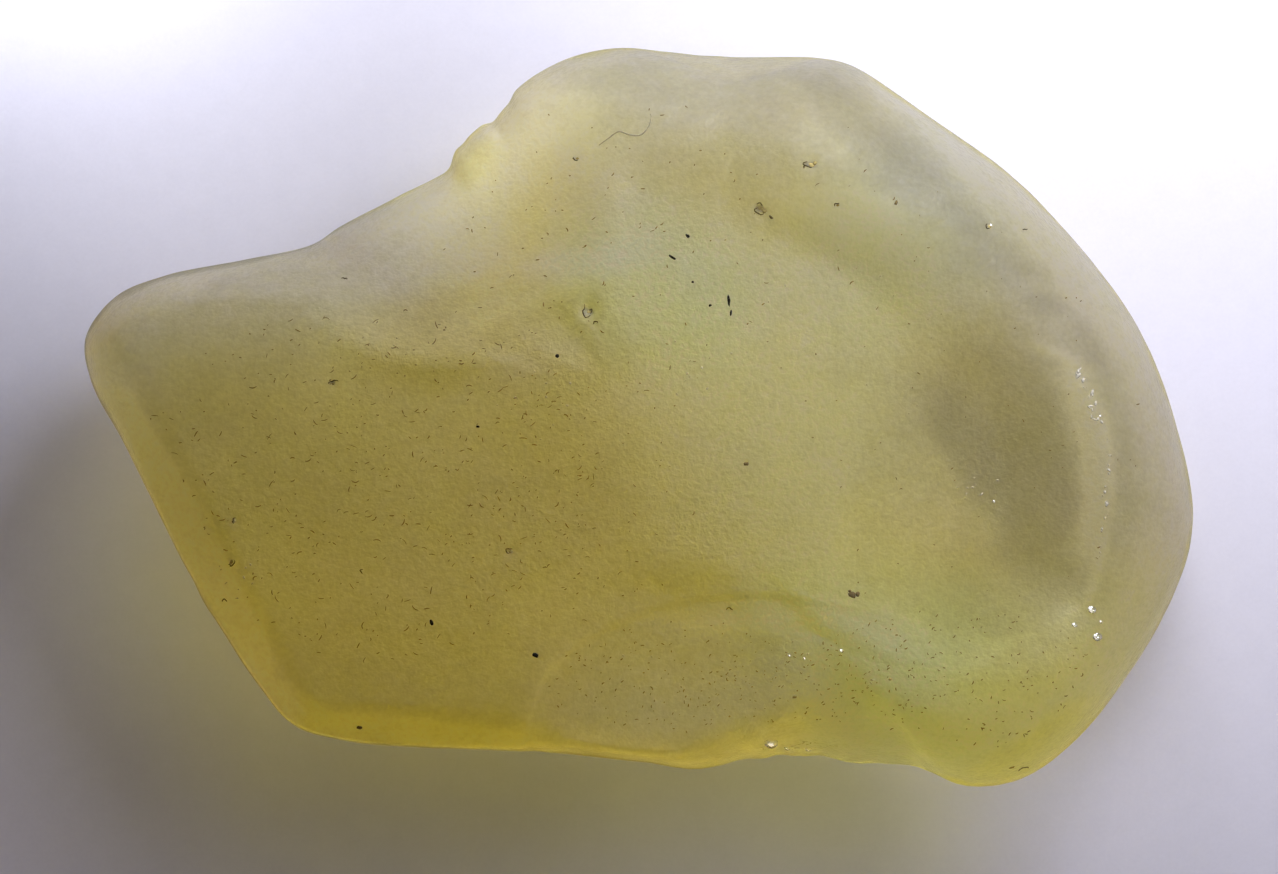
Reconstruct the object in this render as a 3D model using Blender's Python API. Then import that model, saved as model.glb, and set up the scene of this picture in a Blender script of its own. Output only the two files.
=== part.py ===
"""A wind-worn piece of Libyan desert glass, lying on its flat spot.

The stone is one solid. A round blank is moved, vertex by vertex, onto the stone's outline and its worn faces,
and a block then cuts the flat spot that it rests on.
Metres, +Z up, +X along the stone, +Y across it, with the origin under the middle of its box.
"""

import bmesh
import bpy
import numpy as np

MM = 0.001

# Blank: a ball made of six square patches, with this many cuts along each side.
BLANK_CUTS = 25
RIM_TOLERANCE = 1e-9     # how near a share of 1 still lies on the widest line

# The widest line of the stone seen from above, in mm, anticlockwise from the right-hand end.
OUTLINE = (
    (21.0, -3.9), (20.15, 0.5), (18.85, 3.6), (16.75, 6.5), (14.2, 9.15), (10.55, 11.75), (8.0, 13.4),
    (6.6, 13.7), (3.3, 13.7), (1.2, 13.85), (-0.9, 14.0), (-3.0, 13.5), (-4.7, 12.4), (-5.3, 11.55),
    (-6.05, 11.0), (-6.95, 10.15), (-7.4, 9.3), (-9.2, 8.35), (-11.35, 7.25), (-12.5, 6.55), (-15.0, 6.0),
    (-18.0, 5.4), (-19.9, 4.6), (-21.0, 3.05), (-20.8, 1.4), (-19.6, -0.85), (-17.2, -5.45),
    (-14.85, -9.35), (-13.25, -11.4), (-11.0, -12.15), (-4.4, -12.55), (0.0, -13.0), (1.9, -13.25),
    (4.1, -12.95), (6.4, -12.8), (8.3, -13.1), (10.3, -13.2), (12.3, -13.95), (14.5, -13.65), (16.5, -12.2),
    (18.5, -9.75), (20.25, -6.7),
)
OUTLINE_STEPS = 24

# Round the stone: the angle in degrees, then in mm how wide and how high the upper shoulder is there, and how
# high the widest line lies above the ground.
EDGE = (
    (0, 5.0, 7.4, 3.0), (20, 5.4, 7.4, 2.9), (40, 5.6, 7.4, 3.2), (62, 5.6, 7.2, 3.7), (80, 6.0, 6.6, 4.3),
    (98, 6.8, 6.2, 4.9), (113, 6.2, 5.4, 5.6), (125, 5.6, 4.8, 6.0), (138, 5.4, 5.0, 5.6), (152, 4.8, 6.0, 4.9),
    (164, 3.6, 6.5, 4.6), (172, 2.2, 6.7, 4.5), (182, 1.2, 7.6, 3.8), (200, 0.6, 7.9, 3.2), (222, 0.6, 7.9, 3.2),
    (245, 0.6, 7.7, 3.5), (265, 1.4, 7.6, 4.2), (290, 3.0, 6.3, 5.1), (308, 4.8, 6.9, 4.3), (325, 5.6, 7.4, 3.8),
    (342, 5.4, 7.2, 3.3),
)
EDGE_SPREAD = 8.0        # degrees over which one row of EDGE passes into the next
REACH_SPREAD = 5.0       # degrees over which the distance to the edge is evened out
CROWN_RISE = 0.4         # how fast the crown still climbs inside the shoulder
LOWER_SHOULDER = (3.0, 0.65)  # width of the lower shoulder, and its height as a share of the widest line's
LOWER_CROWN = 0.6        # how fast the underside still falls inside it

# Widths in mm over which two crossing faces are rounded into each other.
WORN_RIDGE = 1.2         # the plateau into the incline
WORN_EDGE = 0.7          # the faces into the shoulders
CREASE = 0.45            # one face into the next
LOWER_EDGE = 0.9         # the faces and the shoulder underneath

# Flat faces of the upper side: a point in mm, its height, the way the face falls, and how steeply, in degrees.
PLATEAU = ((-8.0, -3.0), 11.3, 200, 4.0)
INCLINE = ((1.3, -1.6), 11.95, 26, 14.5)
LONG_FACE = ((-14.0, 3.6), 10.75, 100, 17.0)
LOBE_SOUTH = ((4.8, 6.95), 10.25, 272, 18.0)
LOBE_WEST = ((3.0, 9.0), 10.45, 185, 11.0)
FAR_FLANK = ((9.9, 2.0), 9.5, 215, 5.0)
BAND = ((10.6, -7.6), 10.3, 70, 17.0)
BAND_WEST = ((7.2, -8.0), 10.95, 170, 12.0)
LOWER_LOBE = ((12.0, -9.5), 10.7, 285, 9.0)
LEFT_BEVEL = ((-15.9, -3.45), 10.8, 207, 38.0)
FOOT_BEVEL = ((-8.0, -10.8), 11.15, 262, 40.0)

# Hollow faces: the lowest point in mm, its height, and the radii of the curve along and across the turn.
DISH = ((11.6, -1.4), 9.05, (8.0, 18.0), -8)
SCOOP = ((-8.0, 11.5), 8.0, (13.0, 13.0), 0)
LOWER_SCAR = ((1.8, -15.0), 10.1, (19.0, 27.0), 0)
EDGE_CHIP = ((5.9, -13.2), 7.6, (0.8, 0.8), 0)

# The groove by the top edge: its ends, how deep it is and half its width.
GROOVE = ((5.8, 12.6), (9.4, 8.9), 0.3, 0.7)

# Underside: where each face starts, how steeply it rises, which way, and how it curls up, in 1/mm.
GROUND_BULGE = -0.3
UNDERSIDE = (
    ((5.0, -0.5), 6, 350, 0.012), ((-5.0, 0.5), 5, 176, 0.010), ((0.0, 3.6), 11, 84, 0.026),
    ((0.5, -4.2), 12, 268, 0.022), ((5.5, 3.5), 9, 38, 0.016), ((-6.0, -3.0), 9, 226, 0.014),
    ((-5.0, 3.8), 10, 132, 0.022), ((6.0, -4.0), 9, 312, 0.018),
)
# Hollows underneath: the highest point in mm, its height, and the radii of the curve along and across the turn.
UNDER_SCARS = (
    ((-14.0, 0.8), 2.1, (16.0, 12.0), 20), ((9.8, -9.8), 2.7, (11.0, 7.0), 30), ((-8.6, 8.4), 4.4, (8.0, 7.0), 35),
)

GLASS_COLOUR = (0.46, 0.40, 0.12, 1.0)
GLASS_ROUGHNESS = 0.45
GLASS_IOR = 1.46

BLOCK = (60.0, 60.0, 10.0)   # the block under the ground, in mm

FINE_ANGLES = np.radians(np.arange(0.0, 360.0, 0.5))


def closed_curve(points, steps):
    """A smooth closed curve through the points: centripetal Catmull-Rom, with steps points to a span."""
    ring = np.asarray(points, float)
    knots = [np.roll(ring, shift, axis=0) for shift in (1, 0, -1, -2)]
    gaps = [np.sqrt(np.linalg.norm(b - a, axis=1)) for a, b in zip(knots, knots[1:])]
    times = np.cumsum([np.zeros(len(ring)), *gaps], axis=0)
    share = np.arange(steps) / steps
    now = times[1][:, None] + gaps[1][:, None] * share

    def mix(a, b, start, end):
        part = ((now - times[start][:, None]) / (times[end] - times[start])[:, None])[..., None]
        return a + (b - a) * part

    points = [knot[:, None, :] for knot in knots]
    first = [mix(points[i], points[i + 1], i, i + 1) for i in range(3)]
    second = [mix(first[i], first[i + 1], i, i + 2) for i in range(2)]
    return mix(second[0], second[1], 1, 2).reshape(-1, 2)


def round_table(angles, values, spread):
    """Values given at some angles, averaged round the circle by closeness and read at the fine angles."""
    gap = (FINE_ANGLES[:, None] - np.asarray(angles)[None, :] + np.pi) % (2 * np.pi) - np.pi
    weight = np.exp(-0.5 * (gap / np.radians(spread)) ** 2)
    return (weight * np.asarray(values)[None, :]).sum(axis=1) / weight.sum(axis=1)


def read_round(table, angle):
    return np.interp(angle, FINE_ANGLES, table, period=2 * np.pi)


def lower_of(a, b, blend):
    """The lower of two surfaces, rounded over where they cross."""
    share = np.clip(0.5 + 0.5 * (b - a) / blend, 0, 1)
    return b + (a - b) * share - blend * share * (1 - share)


def upper_of(a, b, blend):
    return -lower_of(-a, -b, blend)


def along(x, y, start, toward):
    """Distance from start, measured the way that toward points."""
    turn = np.radians(toward)
    return (x - start[0]) * np.cos(turn) + (y - start[1]) * np.sin(turn)


def flat_face(x, y, face):
    start, height, toward, fall = face
    return height - np.tan(np.radians(fall)) * along(x, y, start, toward)


def hollow_face(x, y, face):
    start, height, radii, turn = face
    u = along(x, y, start, turn)
    v = along(x, y, start, turn + 90)
    return height + u * u / (2 * radii[0]) + v * v / (2 * radii[1])


def groove_depth(x, y, groove):
    """A bell-shaped furrow between two points, fading past its ends."""
    start, end, depth, half_width = groove
    run = np.subtract(end, start)
    toward = np.degrees(np.arctan2(run[1], run[0]))
    u = along(x, y, start, toward)
    v = along(x, y, start, toward + 90)
    past = np.maximum(np.maximum(-u, u - np.hypot(*run)), 0)
    return depth * np.exp(-(v * v + past * past) / (2 * half_width * half_width))


def shoulder(inward, width, height):
    """A quarter-ellipse climb from the widest line."""
    share = np.clip(inward / width, 0, 1)
    return height * np.sqrt(1 - (1 - share) ** 2)


def crown(x, y):
    """Height of the worn upper faces, before the shoulder rounds them off."""
    z = lower_of(flat_face(x, y, PLATEAU), flat_face(x, y, INCLINE), WORN_RIDGE)
    for face in (LONG_FACE, LEFT_BEVEL, FOOT_BEVEL):
        z = lower_of(z, flat_face(x, y, face), CREASE)
    lobe_flank = lower_of(flat_face(x, y, LOBE_SOUTH), flat_face(x, y, LOBE_WEST), CREASE)
    z = upper_of(z, lobe_flank, CREASE)
    far_side = lower_of(flat_face(x, y, FAR_FLANK), hollow_face(x, y, DISH), CREASE)
    z = upper_of(z, far_side, CREASE)
    lobe = lower_of(flat_face(x, y, BAND), flat_face(x, y, LOWER_LOBE), CREASE)
    z = upper_of(z, lower_of(lobe, flat_face(x, y, BAND_WEST), CREASE), CREASE)
    for scar in (SCOOP, LOWER_SCAR, EDGE_CHIP):
        z = lower_of(z, hollow_face(x, y, scar), CREASE)
    return z - groove_depth(x, y, GROOVE)


def underside(x, y):
    """Height of the lower faces: a shallow bulge under the middle, and faces that rise away from it."""
    z = np.full_like(x, GROUND_BULGE)
    for start, rise, toward, curl in UNDERSIDE:
        out = along(x, y, start, toward)
        face = GROUND_BULGE + np.tan(np.radians(rise)) * out + 0.5 * curl * np.maximum(out, 0) ** 2
        z = upper_of(z, face, LOWER_EDGE)
    for start, height, radii, turn in UNDER_SCARS:
        z = upper_of(z, -hollow_face(x, y, (start, -height, radii, turn)), LOWER_EDGE)
    return z


def on_stone(ball):
    """Points of a unit ball moved onto the stone, in mm.

    A point keeps its bearing. Its distance from the ball's axis gives its share of the way out to the outline,
    and the half that it is on says whether it takes the crown's height or the underside's.
    """
    x, y, z = ball.T
    share = np.minimum(np.hypot(x, y), 1)
    angle = np.arctan2(y, x)
    curve = closed_curve(OUTLINE, OUTLINE_STEPS)
    bearing = np.arctan2(curve[:, 1], curve[:, 0])
    run = np.roll(curve, -1, axis=0) - np.roll(curve, 1, axis=0)
    reach = (curve[:, 0] * run[:, 1] - curve[:, 1] * run[:, 0]) / np.linalg.norm(run, axis=1)
    radius = np.interp(angle, bearing, np.linalg.norm(curve, axis=1), period=2 * np.pi)
    inward = (1 - share) * read_round(round_table(bearing, reach, REACH_SPREAD), angle)
    x = share * radius * np.cos(angle)
    y = share * radius * np.sin(angle)
    rows = np.array(EDGE).T
    width, height, rim = (read_round(round_table(np.radians(rows[0]), row, EDGE_SPREAD), angle) for row in rows[1:])
    above = rim + shoulder(inward, width, height) + CROWN_RISE * np.maximum(inward - width, 0)
    below = rim - rim * shoulder(inward, *LOWER_SHOULDER) - LOWER_CROWN * np.maximum(inward - LOWER_SHOULDER[0], 0)
    upper = lower_of(crown(x, y), above, WORN_EDGE)
    lower = upper_of(underside(x, y), below, LOWER_EDGE)
    z = np.where(share > 1 - RIM_TOLERANCE, rim, np.where(z > 0, upper, lower))
    return np.stack([x, y, z], axis=1)


def add_object(name, mesh, collection_name):
    collection = bpy.data.collections.get(collection_name) or bpy.data.collections.new(collection_name)
    if collection.name not in bpy.context.scene.collection.children:
        bpy.context.scene.collection.children.link(collection)
    thing = bpy.data.objects.new(name, mesh)
    collection.objects.link(thing)
    return thing


def round_blank():
    """A ball of six square patches, its rows evenly turned about the middle."""
    bm = bmesh.new()
    bmesh.ops.create_cube(bm, size=2.0)
    bmesh.ops.subdivide_edges(bm, edges=bm.edges[:], cuts=BLANK_CUTS, use_grid_fill=True)
    mesh = bpy.data.meshes.new("glass")
    bm.to_mesh(mesh)
    bm.free()
    points = np.empty(len(mesh.vertices) * 3, np.float32)
    mesh.vertices.foreach_get("co", points)
    points = np.tan(points.reshape(-1, 3).astype(float) * np.pi / 4)
    return mesh, points / np.linalg.norm(points, axis=1)[:, None]


def ground_block():
    """The block that cuts the flat spot: its top face is the ground."""
    bm = bmesh.new()
    bmesh.ops.create_cube(bm, size=1.0)
    bmesh.ops.scale(bm, vec=np.multiply(BLOCK, MM), verts=bm.verts)
    bmesh.ops.translate(bm, vec=(0, 0, -BLOCK[2] * MM / 2), verts=bm.verts)
    mesh = bpy.data.meshes.new("ground_block")
    bm.to_mesh(mesh)
    bm.free()
    block = add_object("ground_block", mesh, "cutters")
    block.hide_render = True
    block.display_type = "WIRE"
    return block


def glass_material():
    material = bpy.data.materials.new("desert_glass")
    material.use_nodes = True
    shader = material.node_tree.nodes["Principled BSDF"]
    shader.inputs["Base Color"].default_value = GLASS_COLOUR
    shader.inputs["Roughness"].default_value = GLASS_ROUGHNESS
    shader.inputs["Metallic"].default_value = 0.0
    shader.inputs["IOR"].default_value = GLASS_IOR
    return material


def glass():
    mesh, ball = round_blank()
    points = on_stone(ball) * MM
    mesh.vertices.foreach_set("co", points.astype(np.float32).ravel())
    mesh.update()
    mesh.shade_smooth()
    mesh.materials.append(glass_material())
    stone = add_object("glass", mesh, "libyan_desert_glass")
    cut = stone.modifiers.new("flat spot", "BOOLEAN")
    cut.operation = "DIFFERENCE"
    cut.solver = "EXACT"
    cut.object = ground_block()
    return stone


def main():
    for thing in list(bpy.data.objects):
        bpy.data.objects.remove(thing)
    glass()


if __name__ == "__main__":
    main()
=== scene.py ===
"""A wind-worn piece of Libyan desert glass on white paper, seen from straight above.

The glass is one closed surface, worked out with numpy from the same faces, scars and edge profile as the
part's own solid, with the fine wear added along its normals. Lengths are in mm until a mesh is written.
"""

import bpy
import numpy as np
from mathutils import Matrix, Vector


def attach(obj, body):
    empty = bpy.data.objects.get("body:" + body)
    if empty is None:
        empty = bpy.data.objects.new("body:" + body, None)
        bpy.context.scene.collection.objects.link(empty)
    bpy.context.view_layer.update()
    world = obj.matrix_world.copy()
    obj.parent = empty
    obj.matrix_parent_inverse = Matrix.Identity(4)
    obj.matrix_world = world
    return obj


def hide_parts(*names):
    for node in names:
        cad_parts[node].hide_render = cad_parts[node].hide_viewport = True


bl_info = {
    "name": "Desert Glass",
    "version": (1, 0, 0),
    "blender": (4, 5, 0),
    "location": "3D View > Sidebar > Desert Glass",
    "description": "Makes a worn, frosted piece of yellow natural glass with its specks, its pits and its stage",
    "category": "Add Mesh",
}

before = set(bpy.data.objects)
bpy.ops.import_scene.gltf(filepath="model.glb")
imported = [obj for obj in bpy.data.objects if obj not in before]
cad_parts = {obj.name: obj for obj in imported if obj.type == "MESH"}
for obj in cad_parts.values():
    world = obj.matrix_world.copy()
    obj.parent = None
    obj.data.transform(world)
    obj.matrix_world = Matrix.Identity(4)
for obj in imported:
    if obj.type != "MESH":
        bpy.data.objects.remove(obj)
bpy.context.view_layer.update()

MM = 0.001

# The widest line of the stone seen from above, anticlockwise from the right-hand end.
OUTLINE = (
    (21.0, -3.9), (20.15, 0.5), (18.85, 3.6), (16.75, 6.5), (14.2, 9.15), (10.55, 11.75), (8.0, 13.4),
    (6.6, 13.7), (3.3, 13.7), (1.2, 13.85), (-0.9, 14.0), (-3.0, 13.5), (-4.7, 12.4), (-5.3, 11.55),
    (-6.05, 11.0), (-6.95, 10.15), (-7.4, 9.3), (-9.2, 8.35), (-11.35, 7.25), (-12.5, 6.55), (-15.0, 6.0),
    (-18.0, 5.4), (-19.9, 4.6), (-21.0, 3.05), (-20.8, 1.4), (-19.6, -0.85), (-17.2, -5.45),
    (-14.85, -9.35), (-13.25, -11.4), (-11.0, -12.15), (-4.4, -12.55), (0.0, -13.0), (1.9, -13.25),
    (4.1, -12.95), (6.4, -12.8), (8.3, -13.1), (10.3, -13.2), (12.3, -13.95), (14.5, -13.65), (16.5, -12.2),
    (18.5, -9.75), (20.25, -6.7),
)
OUTLINE_STEPS = 24

# Round the stone: the angle in degrees, then how wide and how high the upper shoulder is there, and how high
# the widest line lies above the ground.
EDGE = (
    (0, 5.0, 7.4, 3.0), (20, 5.4, 7.4, 2.9), (40, 5.6, 7.4, 3.2), (62, 5.6, 7.2, 3.7), (80, 6.0, 6.6, 4.3),
    (98, 6.8, 6.2, 4.9), (113, 6.2, 5.4, 5.6), (125, 5.6, 4.8, 6.0), (138, 5.4, 5.0, 5.6), (152, 4.8, 6.0, 4.9),
    (164, 3.6, 6.5, 4.6), (172, 2.2, 6.7, 4.5), (182, 1.2, 7.6, 3.8), (200, 0.6, 7.9, 3.2), (222, 0.6, 7.9, 3.2),
    (245, 0.6, 7.7, 3.5), (265, 1.4, 7.6, 4.2), (290, 3.0, 6.3, 5.1), (308, 4.8, 6.9, 4.3), (325, 5.6, 7.4, 3.8),
    (342, 5.4, 7.2, 3.3),
)
EDGE_SPREAD = 8.0        # degrees over which one row of EDGE passes into the next
REACH_SPREAD = 5.0       # degrees over which the distance to the edge is evened out
CROWN_RISE = 0.4         # how fast the crown still climbs inside the shoulder
LOWER_SHOULDER = (3.0, 0.65)  # width of the lower shoulder, and its height as a share of the widest line's
LOWER_CROWN = 0.6        # how fast the underside still falls inside it

# Widths over which two crossing faces are rounded into each other.
WORN_RIDGE = 1.2         # the plateau into the incline
WORN_EDGE = 0.7          # the faces into the shoulders
CREASE = 0.3             # one face into the next
LOWER_EDGE = 0.9         # the faces and the shoulder underneath

# Flat faces of the upper side: a point, its height, the way the face falls, and how steeply, in degrees.
PLATEAU = ((-8.0, -3.0), 11.3, 200, 4.0)
INCLINE = ((1.3, -1.6), 11.95, 26, 14.5)
LONG_FACE = ((-14.0, 3.6), 10.75, 100, 17.0)
LOBE_SOUTH = ((4.8, 6.95), 10.25, 272, 18.0)
LOBE_WEST = ((3.0, 9.0), 10.45, 185, 11.0)
FAR_FLANK = ((9.9, 2.0), 9.5, 215, 5.0)
BAND = ((10.6, -7.6), 10.3, 70, 17.0)
BAND_WEST = ((7.2, -8.0), 10.95, 170, 12.0)
LOWER_LOBE = ((12.0, -9.5), 10.7, 285, 9.0)
LEFT_BEVEL = ((-15.9, -3.45), 10.8, 207, 38.0)
FOOT_BEVEL = ((-8.0, -10.8), 11.15, 262, 40.0)

# Hollow faces: the lowest point, its height, and the radii of the curve along and across the turn.
DISH = ((11.6, -1.4), 9.05, (8.0, 18.0), -8)
SCOOP = ((-8.0, 11.5), 8.0, (13.0, 13.0), 0)
LOWER_SCAR = ((1.8, -15.0), 10.1, (19.0, 27.0), 0)
EDGE_CHIP = ((5.9, -13.2), 7.6, (0.8, 0.8), 0)

# The groove by the top edge: its ends, how deep it is and half its width.
GROOVE = ((5.8, 12.6), (9.4, 8.9), 0.3, 0.7)

# Underside: where each face starts, how steeply it rises, which way, and how it curls up, in 1/mm.
GROUND_BULGE = -0.3
UNDERSIDE = (
    ((5.0, -0.5), 6, 350, 0.012), ((-5.0, 0.5), 5, 176, 0.010), ((0.0, 3.6), 11, 84, 0.026),
    ((0.5, -4.2), 12, 268, 0.022), ((5.5, 3.5), 9, 38, 0.016), ((-6.0, -3.0), 9, 226, 0.014),
    ((-5.0, 3.8), 10, 132, 0.022), ((6.0, -4.0), 9, 312, 0.018),
)
# Hollows underneath: the highest point, its height, and the radii of the curve along and across the turn.
UNDER_SCARS = (
    ((-14.0, 0.8), 2.1, (16.0, 12.0), 20), ((9.8, -9.8), 2.7, (11.0, 7.0), 30), ((-8.6, 8.4), 4.4, (8.0, 7.0), 35),
)

FINE_ANGLES = np.radians(np.arange(0.0, 360.0, 0.5))

# The worn lines on the upper side, and the lines along which light and shade are painted, from left to right or
# from top to bottom, and the rings round its facets.
SCAR_EDGE = (
    (-4.25, -12.2), (-4.1, -11.0), (-3.7, -9.7), (-2.7, -8.65), (-1.6, -7.85), (0.3, -7.05), (2.2, -6.65),
    (4.1, -6.5), (6.0, -6.7), (8.3, -7.2), (9.8, -7.5), (11.3, -7.85), (13.2, -8.3), (14.6, -8.0), (15.6, -7.4),
    (16.5, -6.6),
)
SCAR_STEP = (0.07, 0.40)     # how far the scar lies under its edge, and the width of the step
BAND_EDGE = ((6.4, -7.6), (7.6, -8.6), (9.2, -9.3), (11.0, -9.6), (12.6, -9.4))
RIDGE = (
    (14.6, 2.6), (15.4, 2.35), (16.0, 1.9), (16.3, 1.1), (16.6, 0.4), (17.0, -0.45), (17.2, -1.9), (17.1, -3.4),
    (16.95, -4.6), (16.8, -5.6), (16.5, -6.6),
)
FAR_LINE = ((6.0, 12.8), (9.5, 10.4), (12.2, 7.7), (15.0, 4.9), (16.4, 2.8))
CHIP_LINE = ((4.4, -12.3), (5.9, -12.4), (7.3, -12.6))
RIDGE_SLOPE = ((15.8, 1.3), (16.0, 0.6), (16.4, -0.4), (16.6, -1.7), (16.65, -3.2), (16.5, -4.8))
BEVEL = (
    (-20.5, 1.25), (-18.9, 1.1), (-17.5, -1.2), (-15.3, -5.0), (-13.8, -7.1), (-13.4, -9.6), (-11.1, -10.7),
    (-4.9, -11.4), (-3.1, -12.2), (-3.1, -13.5), (-13.2, -13.0), (-22.0, 0.7),
)
LIGHT_BAND = (
    (2.8, -6.7), (6.0, -6.6), (8.3, -7.1), (10.7, -7.7), (12.1, -8.0), (13.6, -8.3), (12.1, -9.4), (9.8, -9.1),
    (8.3, -8.8), (5.5, -8.2), (2.6, -7.5),
)
TOP_FACET = ((0.1, 13.9), (1.8, 13.1), (3.5, 12.6), (5.2, 13.0), (7.1, 13.7), (7.1, 14.6), (0.1, 14.6))
FAR_BAND = ((9.2, 9.2), (11.4, 7.2), (13.2, 5.6), (14.6, 4.4))
RIM_FAR = ((9.0, 11.6), (12.2, 9.4), (15.2, 6.6), (17.6, 3.4), (18.8, 1.0))
RIM_LOBE = ((19.8, -5.6), (19.3, -7.6), (17.8, -10.2), (15.8, -12.2))
RIM_TIP = ((-17.0, 5.2), (-19.6, 4.2), (-20.6, 2.4), (-19.8, 0.2))
RIDGE_LEE = ((16.4, 3.0), (17.4, 1.2), (17.9, -0.8), (18.0, -3.0))
RIDGE_FOOT = ((16.4, -4.8), (16.4, -5.8), (16.0, -6.8))
LOBE_MARK = ((5.1, 7.9), (5.15, 6.9))
# Bites in the widest line: the nearest point of it, half the width along it, and how deep, or how far out below 0.
BITES = (
    (-7.3, 9.4, 0.26, 0.05), (-6.75, 10.35, 0.18, 0.06), (-5.65, 11.2, 0.20, 0.14), (-4.95, 11.95, 0.20, 0.08),
    (3.9, -13.0, 0.45, 0.10), (5.2, -12.9, 0.30, 0.13), (6.9, -12.85, 0.35, 0.09), (8.9, -13.15, 0.30, 0.07),
    (10.6, -13.2, 0.25, 0.06), (-13.9, -10.6, 0.60, 0.05), (-16.3, -7.0, 0.50, -0.04),
)
RIM_WOBBLE = (0.02, 0.9)     # how far the widest line wanders in and out besides, and over what distance
DISH_RING = (
    (11.1, 2.8), (10.3, 1.1), (10.5, -0.1), (11.2, -1.8), (12.2, -3.1), (13.4, -4.2), (14.1, -5.4), (15.1, -6.5),
    (16.4, -6.5), (17.0, -4.8), (17.1, -2.7), (16.9, -0.5), (16.2, 1.3), (15.1, 2.2), (13.2, 2.8),
)
# Greener patches: middle, radii, turn, soft share of the edge, and by how many halvings the red is less.
GREEN_STAINS = (
    ((0.3, 4.8), (3.6, 3.0), 0, 0.6, 0.13), ((5.0, -0.8), (4.5, 6.5), 10, 0.6, 0.08),
    ((9.5, 6.5), (3.5, 3.5), 0, 0.6, 0.08), ((13.4, -10.6), (6.5, 4.2), 20, 0.5, 0.09),
    ((8.8, -7.8), (4.4, 2.6), -8, 0.5, 0.12),
)
# Patches with an outline of their own: the bevel lighter and yellower, a painted glow of light through the glass;
# the light band lighter, a painted reflection; the top facet lighter and browner. Each row: the ring, how soft its
# edge is, the darkening and the tan.
RING_STAINS_AND_GLOW = ((BEVEL, 0.6, -0.44, 0.22), (LIGHT_BAND, 0.3, -0.18, -0.22), (TOP_FACET, 0.4, -0.13, 0.30))
# The dish darkened by this many halvings: a painted shadow of the ridge across the hollow.
DISH_SHADE = 0.34
# How soft the edge of the dish's painted shadow is, how much less so at its lower left, and the patch where.
DISH_EDGE = (3.2, 2.6, ((11.6, -2.4), (2.8, 1.3), -55, 0.5))
CREASE_LINE = ((2.9, 10.8), (3.1, 9.4), (3.0, 7.7))
STREAK_LINE = ((5.5, 12.0), (6.3, 10.9), (7.3, 9.9))

# What lies everywhere: by how many halvings the dust in the pores darkens the glass, and by how many the tan
# takes the blue out.
CLEAN_STAIN = (0.25, 0.12)
UNDER_SHARE = 0.35       # the share of the dust and painted shade that the underside keeps
# The wall on the left and the front, away from the windows, is darkened, a painted shade that also dims the
# glass's glow on the paper: how much, and how far in it reaches on the upper side and underneath.
WALL_SHADE = (1.1, 0.22, 1.0)
WANDER = (0.5, 2.2)      # how far the edges of the patches wander, and over what distance
UNEVEN = (0.55, 0.7)     # how unevenly the edges are rubbed, and over what distance
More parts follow.
